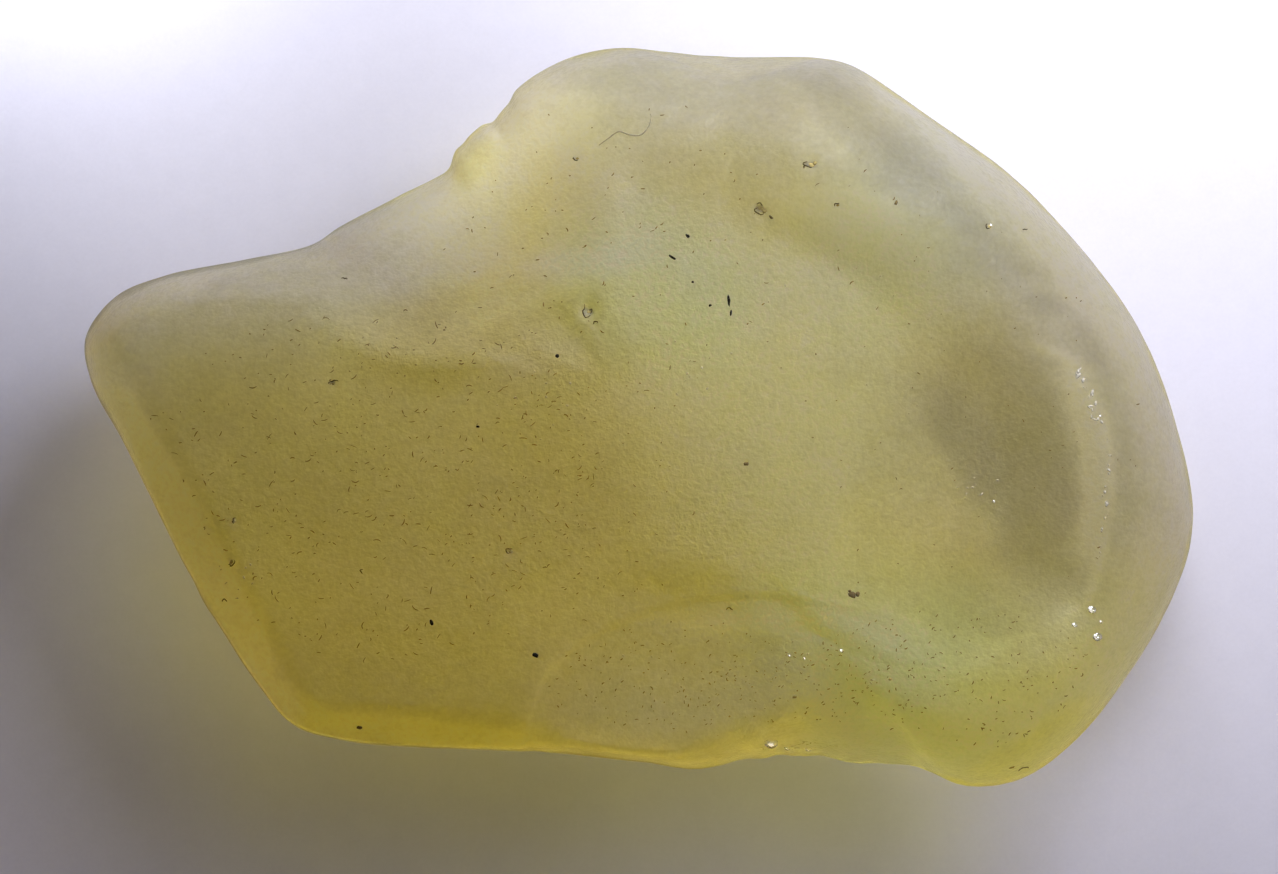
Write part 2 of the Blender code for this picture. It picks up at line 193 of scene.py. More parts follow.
# Dust, tone and painted light and shade, patch by patch: middle, radii, turn, soft share of the edge, then the
# darkening and the tan. The darkening is dust, except in the rows marked below as painted.
STAINS_AND_PAINTED_SHADING = (
    ((-11.0, -5.0), (14.0, 8.0), 0, 0.3, 0.0, 0.40),        # the plateau, its left part
    ((-3.5, -3.0), (6.5, 7.0), -20, 0.35, -0.03, -0.26),    # its right part
    ((-16.5, 2.5), (5.0, 3.2), 15, 0.5, 0.25, -0.10),       # the tip
    ((-11.1, 1.6), (2.4, 1.4), 10, 0.6, -0.15, 0.0),
    ((-6.4, 3.3), (4.2, 1.6), 10, 0.5, 0.10, 1.00),         # below the notch
    ((13.6, -8.6), (2.2, 1.4), 0, 0.6, 0.14, 0.30),         # the far end of the light band, and left of it
    ((0.8, -7.1), (2.6, 0.7), 0, 0.6, -0.10, -0.35),
    ((-9.0, -10.0), (7.5, 3.0), -5, 0.5, 0.16, 0.0),        # the foot of the plateau
    # The notch and the streak below it are lighter: painted light of the thin glass, and a painted streak of
    # light.
    ((-4.6, 8.2), (3.2, 4.2), -30, 0.5, -0.50, 0.05),       # the notch, and the edge of the arm beside it
    ((-11.2, 6.4), (1.8, 0.7), 22, 0.6, -0.40, 0.0),
    ((-3.6, 4.7), (3.2, 0.9), 22, 0.6, -0.40, -0.50),       # the streak below it
    ((0.6, 5.6), (3.2, 2.6), 0, 0.6, -0.22, 0.0),           # the upper lobe
    ((4.0, 8.4), (3.6, 2.6), 0, 0.6, -0.14, 0.25),
    ((4.2, 10.4), (1.6, 1.2), 0, 0.6, 0.15, 0.0),
    ((-1.6, 11.6), (1.8, 1.4), 0, 0.6, 0.16, 0.0),
    # The far flank and the incline are lighter: painted light.
    ((7.9, 6.0), (2.8, 2.6), 0, 0.6, -0.48, 0.0),           # the far flank
    ((10.2, 3.6), (3.6, 1.8), -20, 0.6, -0.20, 0.10),
    ((4.0, -1.3), (4.0, 6.2), 12, 0.5, -0.36, -0.08),       # the incline
    # The dish and the patches beside it are darker: a painted shadow of the ridge.
    ((13.6, -2.6), (3.0, 5.6), 12, 0.45, 0.05, 0.15),       # the dish, and its deepest part
    ((14.6, -3.0), (1.8, 3.0), 12, 0.6, 0.35, -0.06),
    ((11.4, -0.6), (1.6, 2.4), 25, 0.6, 0.15, 0.10),        # beside it, above it and below it
    ((12.0, -1.0), (1.0, 1.8), 20, 0.6, 0.32, 0.0),
    ((12.8, -6.0), (1.8, 2.6), 10, 0.6, 0.25, 0.10),
    ((1.0, -12.7), (4.2, 0.8), -3, 0.6, 0.30, 0.0),         # the front edge, and the crease above the light band
    ((4.0, -7.0), (2.6, 0.9), -5, 0.5, -0.35, -0.40),
    ((-1.8, 2.4), (1.8, 1.4), 0, 0.6, 0.05, 0.30),
    ((5.2, -1.6), (4.8, 6.2), 20, 0.5, 0.0, 0.30),          # yellower: the valley, the plateau and the far corner
    ((-9.0, -4.0), (11.0, 7.0), 0, 0.4, -0.01, 0.26),
    ((-15.0, 1.6), (2.6, 2.0), 0, 0.6, 0.0, 0.25),
    ((14.8, -12.6), (3.2, 1.2), 30, 0.6, 0.05, 1.05),
    ((10.5, -9.8), (4.5, 2.8), -10, 0.6, 0.0, 0.25),
    ((9.0, -4.6), (3.0, 2.4), 0, 0.6, 0.0, 0.22),
    ((12.6, -7.0), (3.2, 2.4), 0, 0.6, 0.10, 0.35),
    ((1.4, -9.6), (5.0, 2.6), 0, 0.4, 0.18, -0.50),         # the scar, and its right end
    ((8.0, -9.2), (2.4, 2.8), 0, 0.5, -0.42, -0.30),
    # The lower lobe is lighter: a painted glow of the thin glass.
    ((13.6, -11.0), (4.6, 2.6), 20, 0.6, -0.30, 0.0),       # the lower lobe
    ((17.6, -8.2), (2.0, 3.0), -25, 0.5, -0.21, 0.20),
    # The rim at the top right is lighter: painted light.
    ((15.6, 6.4), (1.4, 5.0), 45, 0.6, -0.26, 0.0),         # the rim, top right, top left and top
    ((-0.6, 12.6), (3.2, 1.4), 10, 0.6, 0.04, 0.10),
    ((8.3, 10.5), (2.4, 1.8), -30, 0.6, 0.14, 0.0),
    ((5.5, 10.8), (6.5, 3.0), -12, 0.5, 0.12, 0.0),
    # The grey shoulders at the top edge are darker: painted shade.
    ((-1.4, 13.0), (2.2, 0.9), 8, 0.6, 0.14, 0.0),          # the grey shoulders at the top edge
    ((6.2, 12.9), (2.8, 1.1), -8, 0.6, 0.16, -0.20),
    # Yellower and a little lighter along the notch: a painted glow.
    ((-4.2, 7.0), (0.7, 2.8), -8, 0.7, -0.05, 0.30),        # the yellow glow along the notch
    ((-6.3, 9.3), (1.2, 0.7), 45, 0.7, 0.0, 0.50),
    ((6.6, 12.2), (2.4, 1.6), -10, 0.6, 0.08, 0.29),
)
# The rim made lighter: how far in, and how many halvings it is brighter.
LIGHTER_RIM = (0.75, 0.34)
# A darker, browner line along the very edge, a painted edge shade: half its width, its darkening and its tan.
EDGE_LINE = (0.11, 0.05, 1.5)
# Lines made lighter or darker: the scar's and the band's edges, the ridge, the crease, the chip line and the
# lobe's mark rubbed clean; the ridge's slope lighter; the streak, the rims and the ridge's foot lighter as painted
# light; the far line, the far band and the ridge's lee darker as painted shade. Each row: the line, its half
# width, and how many halvings it is brighter, or darker below 0.
RUBBED_AND_PAINTED_LINES = (
    (SCAR_EDGE[:9], 0.28, 0.20), (SCAR_EDGE[:9], 0.09, 0.16), (SCAR_EDGE[8:], 0.14, 0.15), (BAND_EDGE, 0.22, 0.06),
    (RIDGE, 0.13, 0.34), (RIDGE_SLOPE, 0.46, 0.72), (CREASE_LINE, 0.16, 0.12), (STREAK_LINE, 0.35, 0.20),
    (CHIP_LINE, 0.35, 0.25), (FAR_LINE, 0.65, -0.16), (FAR_BAND, 0.8, -0.34), (RIM_FAR, 0.9, 0.20),
    (RIM_LOBE, 1.0, 0.30), (RIM_TIP, 0.7, 0.35), (RIDGE_LEE, 0.35, -0.22), (RIDGE_FOOT, 0.4, 0.28),
    (LOBE_MARK, 0.12, 0.25),
)

# Fine wear: height and size of three smooth noises; height, size, turn and stretch of the ripples; how deep the
# top facet is worn; depth and half width of a pit, as shares of its width; height and size of the scar's grain;
# height and half width of the lips along the scar and the ridge, and depth and half width of the crease.
WEAR = ((0.03, 4.0), (0.012, 1.6), (0.003, 0.6))
RIPPLES = (0.028, 0.42, 52, 2.6)
FACET_DEPTH = 0.07
PIT_HOLLOW = (0.3, 0.55)
SCAR_GRAIN = (0.012, 0.45)
SCAR_LIP = (0.012, 0.2)
RIDGE_LIP = (0.05, 0.2)
CREASE_HOLLOW = (0.03, 0.25)
RIM_FADE = 0.02          # the share of the way in over which the wear starts at the widest line

# The sheets of the surface: cells along each side of the lower one, which has every second rim point of the
# upper one, and how strongly the rows gather at the widest line.
LOWER_CELLS = 140
RIM_GATHER = 0.3

# The windows and the reflectors that light the stage: bearing and elevation in degrees, width, height, watts and
# colour, then where each is aimed and over how many degrees it spreads.
LAMPS = (
    ("window", 63, 34, 40, 24, 0.0366, (0.815, 0.835, 1.0), (0, 0), 180),
    ("skylight", 32, 60, 40, 24, 0.0100, (0.97, 0.94, 0.97), (0, 0), 180),
    ("left_window", 110, 14, 40, 24, 0.0146, (0.84, 0.83, 1.0), (0, 0), 180),
    ("right_window", 0, 14, 40, 24, 0.0062, (0.74, 0.68, 1.0), (0, 0), 180),
    ("low_window", 212, 10, 40, 16, 0.0034, (0.92, 0.78, 0.98), (0, 0), 180),
    ("reflector", 110, 50, 14, 14, 0.0009, (0.84, 0.86, 1.0), (-23.0, 21.5), 25),
    ("low_reflector", 305, 35, 8, 8, 0.00006, (0.80, 0.80, 1.0), (15.4, -13.6), 13),
    ("rim_reflector", 335, 8, 16, 6, 0.00011, (1.0, 0.95, 0.85), (19.0, -8.5), 40),
    ("notch_reflector", 110, 50, 6, 6, 0.00007, (1.0, 0.96, 0.78), (-3.5, 6.6), 10),
    ("bevel_reflector", 212, 10, 16, 6, 0.00006, (1.0, 0.95, 0.70), (-17.0, -4.6), 30),
)
LAMP_DISTANCE = 60.0
# The camera: the middle of its view and the height of the widest line, and the width of its sensor.
EYE = (-0.11, -0.72, 4.7)
SENSOR = 36.0

# Dark grains on the upper side: place, length, width and turn.
BLACK_GRAINS = (
    (3.18, 4.28, 0.40, 0.12, 95), (3.26, 3.83, 0.26, 0.10, 80), (1.10, 5.87, 0.36, 0.10, -35),
    (1.67, 6.67, 0.19, 0.12, -50), (1.86, 4.96, 0.10, 0.10, 0), (2.50, 4.10, 0.14, 0.10, 20),
    (-3.10, 2.24, 0.20, 0.16, 10), (-6.00, -0.34, 0.14, 0.10, 0), (-3.90, -8.70, 0.26, 0.16, -20),
    (-7.70, -7.50, 0.26, 0.14, -60),
)
# Dark arcs round the larger pits, dust and painted shade inside their rims: place, length and width of the pit,
# its turn, and where round it the arc starts and how far it runs, in degrees.
PIT_DUST_AND_SHADE = (
    (6.25, 9.30, 0.52, 0.30, -10, 150, 210), (4.40, 7.60, 0.52, 0.28, -25, 170, 240),
    (4.30, 7.75, 0.30, 0.20, 10, 0, 200), (-1.97, 3.94, 0.46, 0.44, 0, 120, 290),
    (-1.95, 3.90, 0.20, 0.20, 0, 300, 240), (-1.70, 3.42, 0.20, 0.16, 0, 30, 260),
    (12.90, 7.10, 0.28, 0.24, 0, 140, 200), (14.25, 7.10, 0.26, 0.20, 30, 200, 150),
    (-2.40, 9.60, 0.34, 0.14, -5, 170, 190), (7.20, 7.80, 0.22, 0.16, 0, 60, 240),
    (-11.30, 1.25, 0.30, 0.22, 20, 0, 270), (-14.90, -3.80, 0.26, 0.20, 0, 90, 250),
    (-15.10, -5.30, 0.36, 0.22, 60, 160, 240), (-15.40, -6.80, 0.20, 0.16, 0, 0, 300),
    (-4.80, -4.90, 0.30, 0.24, 0, 60, 300), (3.20, -7.10, 0.26, 0.18, 0, 10, 250),
    (-10.20, -5.65, 0.22, 0.16, 0, 100, 250), (-11.00, 5.10, 0.20, 0.14, 0, 0, 240),
    (14.30, -13.20, 0.34, 0.20, 20, 0, 260),
)
# Brown grains, as above.
BROWN_GRAINS = (
    (7.70, -6.50, 0.36, 0.26, -15), (7.90, -6.48, 0.20, 0.20, 30), (7.62, -6.36, 0.14, 0.12, 0),
    (9.36, 7.90, 0.20, 0.13, 70), (3.80, -1.70, 0.20, 0.17, 0), (-10.40, -11.40, 0.24, 0.18, 30),
    (5.95, 9.20, 0.16, 0.08, 60), (4.75, 7.35, 0.22, 0.10, -40),
)
# The yellow-brown dust that fills the larger pits: place, length, width and turn.
PIT_FILLS = (
    (6.22, 9.28, 0.46, 0.24, -10), (6.38, 9.36, 0.20, 0.16, 40), (4.36, 7.64, 0.46, 0.24, -25),
    (4.52, 7.54, 0.20, 0.14, 20), (-1.97, 3.92, 0.38, 0.34, 0), (12.90, 7.10, 0.24, 0.20, 0),
    (-15.00, -3.82, 0.20, 0.16, 30), (-15.10, -5.32, 0.26, 0.16, 60), (-4.80, -4.92, 0.24, 0.20, 0),
    (-11.30, 1.24, 0.20, 0.16, 0), (-2.42, 9.58, 0.28, 0.12, -5), (7.20, 7.80, 0.20, 0.13, 0),
    (13.80, -13.05, 0.30, 0.18, 10), (14.25, -13.15, 0.22, 0.14, -20), (9.10, -9.60, 0.16, 0.12, 20),
    (5.6, -10.3, 0.18, 0.12, 0),
)
# Fine dashes of dust: how many, the middle and radii of the patch that they lie in, and the shortest and longest.
DASHES = (
    (520, (-10.0, -2.5), (9.0, 6.5), 0.05, 0.30), (140, (-3.0, -2.0), (5.0, 6.5), 0.05, 0.20),
    (70, (3.0, 6.5), (8.0, 5.5), 0.05, 0.20), (260, (2.5, -9.8), (6.0, 2.4), 0.04, 0.14),
    (60, (12.0, 0.0), (6.5, 8.0), 0.04, 0.14), (40, (-4.0, 7.0), (4.0, 4.5), 0.05, 0.16),
    (260, (11.5, -10.0), (6.0, 3.0), 0.05, 0.16),
)
DASH_MARGIN = 1.6        # dashes start this far in from the edge, where the glass is steep and clean
DASH_WIDTH = (0.03, 0.055)
THREAD_RADIUS = (0.010, 0.022)
PIT_THREAD = 0.024
# Small pale bruises, in patches as above; the flecks in the middle, left of it and beside the dish stand for
# glints:
# painted glints.
PALE_BRUISES_AND_GLINTS = (
    (14, (2.2, 1.8), (1.4, 1.4), 0.06, 0.16), (12, (-3.4, 0.4), (2.0, 1.6), 0.06, 0.14),
    (10, (12.4, -2.6), (0.9, 0.6), 0.07, 0.2), (10, (-15.0, -5.4), (0.8, 1.6), 0.08, 0.2),
    (24, (4.0, -9.5), (6.0, 2.4), 0.05, 0.13), (20, (9.0, 5.0), (7.0, 5.0), 0.05, 0.12),
)
# Open bubbles with polished walls: place and radius.
BUBBLES = (
    (16.60, -7.10, 0.17), (15.95, -7.66, 0.10), (16.80, -8.10, 0.19), (16.95, -7.55, 0.07), (12.95, 7.15, 0.06),
    (4.78, -12.10, 0.28), (5.40, -12.35, 0.12), (6.20, -12.40, 0.14), (13.00, -3.10, 0.06),
    (16.90, 0.05, 0.05), (7.30, -8.55, 0.07), (5.40, -8.75, 0.05), (5.95, -8.85, 0.05),
)
LENS = (0.2, 0.25)         # the height of a lens and how far it is raised, as shares of its radius
GLINT_LEAN = (63, 28)      # bearing of the polished faces that catch the window, and how far they lean, in degrees
# The loose fibre: its route over the glass and its radius.
FIBRE = ((-1.6, 10.05), (-1.25, 10.3), (-0.85, 10.55), (-0.45, 10.42), (-0.05, 10.42), (0.25, 10.75), (0.3, 11.2))
FIBRE_RADIUS = 0.022
# Bruised flakes on the fresh chip at the front edge: how many, the middle and radii, the shortest and longest.
CHIP_FLAKES = ((26, (5.9, -12.35), (1.4, 0.28), 0.08, 0.34), (10, (4.7, -12.2), (0.4, 0.3), 0.06, 0.2))
# Bruised flakes along the ridge: how many, from which to which share of it, how far off it, and the longest.
RIDGE_FLAKES = (
    (9, 0.17, 0.24, 0.07, 0.28), (12, 0.26, 0.36, 0.10, 0.26), (24, 0.36, 0.72, 0.09, 0.2),
    (6, 0.72, 0.9, 0.06, 0.12),
)

GRAIN_SINK = 0.15        # the share of its height by which a grain sits in the glass

PAPER_DROP = -0.02       # the paper lies this far under the ground, clear of the flat spot
PAPER_REACH = 900.0


def closed_curve(points, steps):
    """A smooth closed curve through the points: centripetal Catmull-Rom, with steps points to a span."""
    ring = np.asarray(points, float)
    knots = [np.roll(ring, shift, axis=0) for shift in (1, 0, -1, -2)]
    gaps = [np.sqrt(np.linalg.norm(b - a, axis=1)) for a, b in zip(knots, knots[1:])]
    times = np.cumsum([np.zeros(len(ring)), *gaps], axis=0)
    share = np.arange(steps) / steps
    now = times[1][:, None] + gaps[1][:, None] * share

    def mix(a, b, start, end):
        part = ((now - times[start][:, None]) / (times[end] - times[start])[:, None])[..., None]
        return a + (b - a) * part

    points = [knot[:, None, :] for knot in knots]
    first = [mix(points[i], points[i + 1], i, i + 1) for i in range(3)]
    second = [mix(first[i], first[i + 1], i, i + 2) for i in range(2)]
    return mix(second[0], second[1], 1, 2).reshape(-1, 2)


def open_curve(points, steps=6):
    """A smooth open curve through the points, made as part of a closed one."""
    curve = closed_curve(points, steps)
    return curve[:(len(points) - 1) * steps + 1]


def round_table(angles, values, spread):
    """Values given at some angles, averaged round the circle by closeness and read at the fine angles."""
    gap = (FINE_ANGLES[:, None] - np.asarray(angles)[None, :] + np.pi) % (2 * np.pi) - np.pi
    weight = np.exp(-0.5 * (gap / np.radians(spread)) ** 2)
    return (weight * np.asarray(values)[None, :]).sum(axis=1) / weight.sum(axis=1)


def read_round(table, angle):
    return np.interp(angle, FINE_ANGLES, table, period=2 * np.pi)


def lower_of(a, b, blend):
    """The lower of two surfaces, rounded over where they cross."""
    share = np.clip(0.5 + 0.5 * (b - a) / blend, 0, 1)
    return b + (a - b) * share - blend * share * (1 - share)


def upper_of(a, b, blend):
    return -lower_of(-a, -b, blend)


def along(x, y, start, toward):
    """Distance from start, measured the way that toward points."""
    turn = np.radians(toward)
    return (x - start[0]) * np.cos(turn) + (y - start[1]) * np.sin(turn)


def flat_face(x, y, face):
    start, height, toward, fall = face
    return height - np.tan(np.radians(fall)) * along(x, y, start, toward)


def hollow_face(x, y, face):
    start, height, radii, turn = face
    u = along(x, y, start, turn)
    v = along(x, y, start, turn + 90)
    return height + u * u / (2 * radii[0]) + v * v / (2 * radii[1])


def groove_depth(x, y, groove):
    """A bell-shaped furrow between two points, fading past its ends."""
    start, end, depth, half_width = groove
    run = np.subtract(end, start)
    toward = np.degrees(np.arctan2(run[1], run[0]))
    u = along(x, y, start, toward)
    v = along(x, y, start, toward + 90)
    past = np.maximum(np.maximum(-u, u - np.hypot(*run)), 0)
    return depth * np.exp(-(v * v + past * past) / (2 * half_width * half_width))


def shoulder(inward, width, height):
    """A quarter-ellipse climb from the widest line."""
    share = np.clip(inward / width, 0, 1)
    return height * np.sqrt(1 - (1 - share) ** 2)


def crown(x, y):
    """Height of the worn upper faces, before the shoulder rounds them off."""
    z = lower_of(flat_face(x, y, PLATEAU), flat_face(x, y, INCLINE), WORN_RIDGE)
    for face in (LONG_FACE, LEFT_BEVEL, FOOT_BEVEL):
        z = lower_of(z, flat_face(x, y, face), CREASE)
    lobe_flank = lower_of(flat_face(x, y, LOBE_SOUTH), flat_face(x, y, LOBE_WEST), CREASE)
    z = upper_of(z, lobe_flank, CREASE)
    far_side = lower_of(flat_face(x, y, FAR_FLANK), hollow_face(x, y, DISH), CREASE)
    z = upper_of(z, far_side, CREASE)
    lobe = lower_of(flat_face(x, y, BAND), flat_face(x, y, LOWER_LOBE), CREASE)
    z = upper_of(z, lower_of(lobe, flat_face(x, y, BAND_WEST), CREASE), CREASE)
    for scar in (SCOOP, LOWER_SCAR, EDGE_CHIP):
        z = lower_of(z, hollow_face(x, y, scar), CREASE)
    return z - groove_depth(x, y, GROOVE)


def underside(x, y):
    """Height of the lower faces: a shallow bulge under the middle, and faces that rise away from it."""
    z = np.full_like(x, GROUND_BULGE)
    for start, rise, toward, curl in UNDERSIDE:
        out = along(x, y, start, toward)
        face = GROUND_BULGE + np.tan(np.radians(rise)) * out + 0.5 * curl * np.maximum(out, 0) ** 2
        z = upper_of(z, face, LOWER_EDGE)
    for start, height, radii, turn in UNDER_SCARS:
        z = upper_of(z, -hollow_face(x, y, (start, -height, radii, turn)), LOWER_EDGE)
    return z


class Stone:
    """The stone's shape: its outline, its edge profile, and the heights of both sides over a point below."""

    def __init__(self):
        curve = closed_curve(OUTLINE, OUTLINE_STEPS)
        bearing = np.arctan2(curve[:, 1], curve[:, 0])
        run = np.roll(curve, -1, axis=0) - np.roll(curve, 1, axis=0)
        reach = (curve[:, 0] * run[:, 1] - curve[:, 1] * run[:, 0]) / np.linalg.norm(run, axis=1)
        order = np.argsort(bearing)
        self.bearing = bearing[order]
        self.radius = np.linalg.norm(curve, axis=1)[order]
        level = np.stack([curve[:, 0], curve[:, 1], 0 * curve[:, 0]], axis=-1)
        self.radius = self.radius + RIM_WOBBLE[0] * noise(level, RIM_WOBBLE[1], 14)[order]
        for x, y, half_width, depth in BITES:
            self.radius -= depth * bell(np.hypot(*(curve[order] - (x, y)).T), half_width)
        self.reach = round_table(bearing, reach, REACH_SPREAD)
        rows = np.array(EDGE).T
        self.edge = [round_table(np.radians(rows[0]), row, EDGE_SPREAD) for row in rows[1:]]

    def outline(self, angle):
        return np.interp(angle, self.bearing, self.radius, period=2 * np.pi)

    def sides(self, share, angle):
        """Place over the ground, and the heights of the upper and the lower side, for a share of the way out."""
        radius = self.outline(angle)
        inward = (1 - share) * read_round(self.reach, angle)
        x = share * radius * np.cos(angle)
        y = share * radius * np.sin(angle)
        width, height, rim = (read_round(row, angle) for row in self.edge)
        above = rim + shoulder(inward, width, height) + CROWN_RISE * np.maximum(inward - width, 0)
        past = np.maximum(inward - LOWER_SHOULDER[0], 0)
        below = rim - rim * shoulder(inward, *LOWER_SHOULDER) - LOWER_CROWN * past
        upper = lower_of(crown(x, y), above, WORN_EDGE)
        lower = upper_of(underside(x, y), below, LOWER_EDGE)
        return x, y, rim, upper, lower

    def top(self, x, y):
        """Height of the upper side over the points x, y."""
        angle = np.arctan2(y, x)
        share = np.minimum(np.hypot(x, y) / self.outline(angle), 0.9999)
        return self.sides(share, angle)[3]


def disc_grid(count):
    """A square grid bent onto the unit disc, as distance from the middle and angle.

    Each point is x = u sqrt(1 - v²/2), y = v sqrt(1 - u²/2). With s the way in from the rim, the distance is then
    1 - (1 + g) s² / (s + g), which gathers the rows at the rim.
    """
    line = np.linspace(-1, 1, count)
    u, v = np.meshgrid(line, line)
    x = u * np.sqrt(1 - v * v / 2)
    y = v * np.sqrt(1 - u * u / 2)
    inward = 1 - np.minimum(np.hypot(x, y), 1)
    return 1 - (1 + RIM_GATHER) * inward ** 2 / (inward + RIM_GATHER), np.arctan2(y, x)


def sheet_quads(index):
    """The four corners of every cell of a grid of point numbers."""
    return np.stack([index[:-1, :-1], index[:-1, 1:], index[1:, 1:], index[1:, :-1]], axis=-1).reshape(-1, 4)


def closed_sheets(cells):
    """Corners of the cells of two grids of points that share their rim, the lower one facing down.

    The upper grid has twice as many cells along each side, and each lower rim cell takes in the upper rim point
    that lies halfway along its side.
    """
    upper = np.arange((2 * cells + 1) ** 2).reshape(2 * cells + 1, -1)
    lower = upper[::2, ::2].copy()
    lower[1:-1, 1:-1] = upper.size + np.arange((cells - 1) ** 2).reshape(cells - 1, -1)
    halfway = np.full((4, cells, cells), -1)
    halfway[0, 0] = upper[0, 1::2]
    halfway[1, :, -1] = upper[1::2, -1]
    halfway[2, -1] = upper[-1, 1::2]
    halfway[3, :, 0] = upper[1::2, 0]
    corners = sheet_quads(lower)
    rings = np.stack([corners.T, halfway.reshape(4, -1)], axis=1).reshape(8, -1).T[:, ::-1]
    return sheet_quads(upper).tolist() + [ring[ring >= 0].tolist() for ring in rings]


def grid_normals(points):
    """Each grid point's normal: its neighbours' differences along the rows and the columns, crossed."""
    normal = np.cross(np.gradient(points, axis=1), np.gradient(points, axis=0))
    return normal / np.linalg.norm(normal, axis=-1)[..., None]


def noise(points, size, seed, turn=0.0, stretch=1.0):
    """Smooth random heights from -1 to 1 that change over about size, longer by stretch along the turn.

    Random numbers stand at the corners of a cubic lattice, and each place takes those of its cell's eight
    corners, weighted by 3 t² - 2 t³ along each axis.
    """
    x, y, z = np.moveaxis(np.asarray(points, float), -1, 0)
    u = along(x, y, (0, 0), turn) / stretch
    v = along(x, y, (0, 0), turn + 90)
    place = np.stack([u + 0.3 * z, v - 0.2 * z, z + 0.25 * v], axis=-1) / size + 31.7
    lattice = np.random.default_rng(seed).uniform(-1, 1, (64, 64, 64))
    cell = np.floor(place).astype(int)
    part = place - cell
    part = part * part * (3 - 2 * part)
    total = 0.0
    for corner in np.ndindex(2, 2, 2):
        weight = np.prod(np.where(corner, part, 1 - part), axis=-1)
        total = total + weight * lattice[tuple(np.moveaxis((cell + corner) % 64, -1, 0))]
    return total


def soft_step(share):
    """0 below 0, 1 above 1, and 3 t² - 2 t³ between."""
    share = np.clip(share, 0, 1)
    return share * share * (3 - 2 * share)


def patch(x, y, middle, radii, turn, soft):
    """1 inside an ellipse and 0 outside it, over an edge that takes up the soft share of its radii."""
    out = np.hypot(along(x, y, middle, turn) / radii[0], along(x, y, middle, turn + 90) / radii[1])
    return soft_step((1 + soft - out) / (2 * soft))


def line_distance(x, y, line):
    """Distance from each place to the nearest point of a line of straight runs."""
    nearest = np.full(np.shape(x), np.inf)
    for start, end in zip(line, line[1:]):
        run = np.subtract(end, start)
        share = np.clip(((x - start[0]) * run[0] + (y - start[1]) * run[1]) / (run @ run), 0, 1)
        nearest = np.minimum(nearest, np.hypot(x - start[0] - share * run[0], y - start[1] - share * run[1]))
    return nearest


def inside(x, y, ring, soft):
    """1 inside a closed ring of straight runs and 0 outside it, over a soft edge: a count of the runs crossed."""
    within = np.zeros(np.shape(x), bool)
    for (ax, ay), (bx, by) in zip(ring, (*ring[1:], ring[0])):
        level = (ay > y) != (by > y)
        within ^= level & (x < ax + (y - ay) * (bx - ax) / (by - ay + 1e-12))
    gap = line_distance(x, y, (*ring, ring[0]))
    return soft_step(0.5 + np.where(within, gap, -gap) / soft)


def bell(distance, half_width):
    return np.exp(-distance * distance / (2 * half_width * half_width))


def in_scar(x, y):
    """1 inside the lower scar and 0 outside, over the width of its step."""
    edge = np.interp(x, *np.array(SCAR_EDGE[:11]).T)
    left = (x - SCAR_EDGE[0][0]) / SCAR_STEP[1]
    below = (edge - y) / SCAR_STEP[1]
    return soft_step(np.minimum(below, left) + 0.5) * soft_step((9.5 - x) / 3.0)


def stains_and_painted_shading(points, under):
    """Dust with painted light and shade, lost blue and lost red at each place, as halvings of the light; under
    says which lie underneath.
    """
    wander = [WANDER[0] * noise(points, WANDER[1], seed) for seed in (11, 12)]
    x, y = points[..., 0] + wander[0], points[..., 1] + wander[1]
    dust, tan = (np.full(x.shape, value) for value in CLEAN_STAIN)
    for middle, radii, turn, soft, darker, browner in STAINS_AND_PAINTED_SHADING:
        cover = patch(x, y, middle, radii, turn, soft)
        dust += darker * cover
        tan += browner * cover
    olive = sum(row[4] * patch(x, y, *row[:4]) for row in GREEN_STAINS)
    x, y = points[..., 0], points[..., 1]
    uneven = 1 + UNEVEN[0] * noise(points, UNEVEN[1], 13)
    # Lines lighter and darker: rubbed edges, painted light and painted shade.
    for line, half_width, brighter in RUBBED_AND_PAINTED_LINES:
        dust -= brighter * uneven * bell(line_distance(x, y, line), half_width)
    x, y = x + 0.3 * wander[0], y + 0.3 * wander[1]
    for ring, soft, darker, browner in RING_STAINS_AND_GLOW:
        cover = inside(x, y, ring, soft)
        dust += darker * cover
        tan += browner * cover
    # The dish darkened: a painted shadow of the ridge.
    soft = DISH_EDGE[0] - DISH_EDGE[1] * patch(x, y, *DISH_EDGE[2])
    dust += DISH_SHADE * inside(x, y, DISH_RING, soft)
    rim_gap = line_distance(x, y, (*OUTLINE, OUTLINE[0]))
    # The rim made lighter.
    dust -= LIGHTER_RIM[1] * bell(rim_gap, LIGHTER_RIM[0]) * (1 - inside(x, y, BEVEL, 1.0))
    # A darker, browner line painted along the very edge: a painted edge shade.
    edge = bell(rim_gap, EDGE_LINE[0]) * (1 - inside(x, y, BEVEL, 1.0))
    dust = (np.maximum(dust, 0) + EDGE_LINE[1] * edge) * np.where(under, UNDER_SHARE, 1)
    tan = tan + EDGE_LINE[2] * edge
    # The left and front wall, away from the windows, darkened: a painted shade.
    front = soft_step((-x - y) / 8) * soft_step((8 - x) / 10)
    wall = soft_step(1.5 - rim_gap / np.where(under, WALL_SHADE[2], WALL_SHADE[1]))
    return dust + WALL_SHADE[0] * wall * front, tan, olive


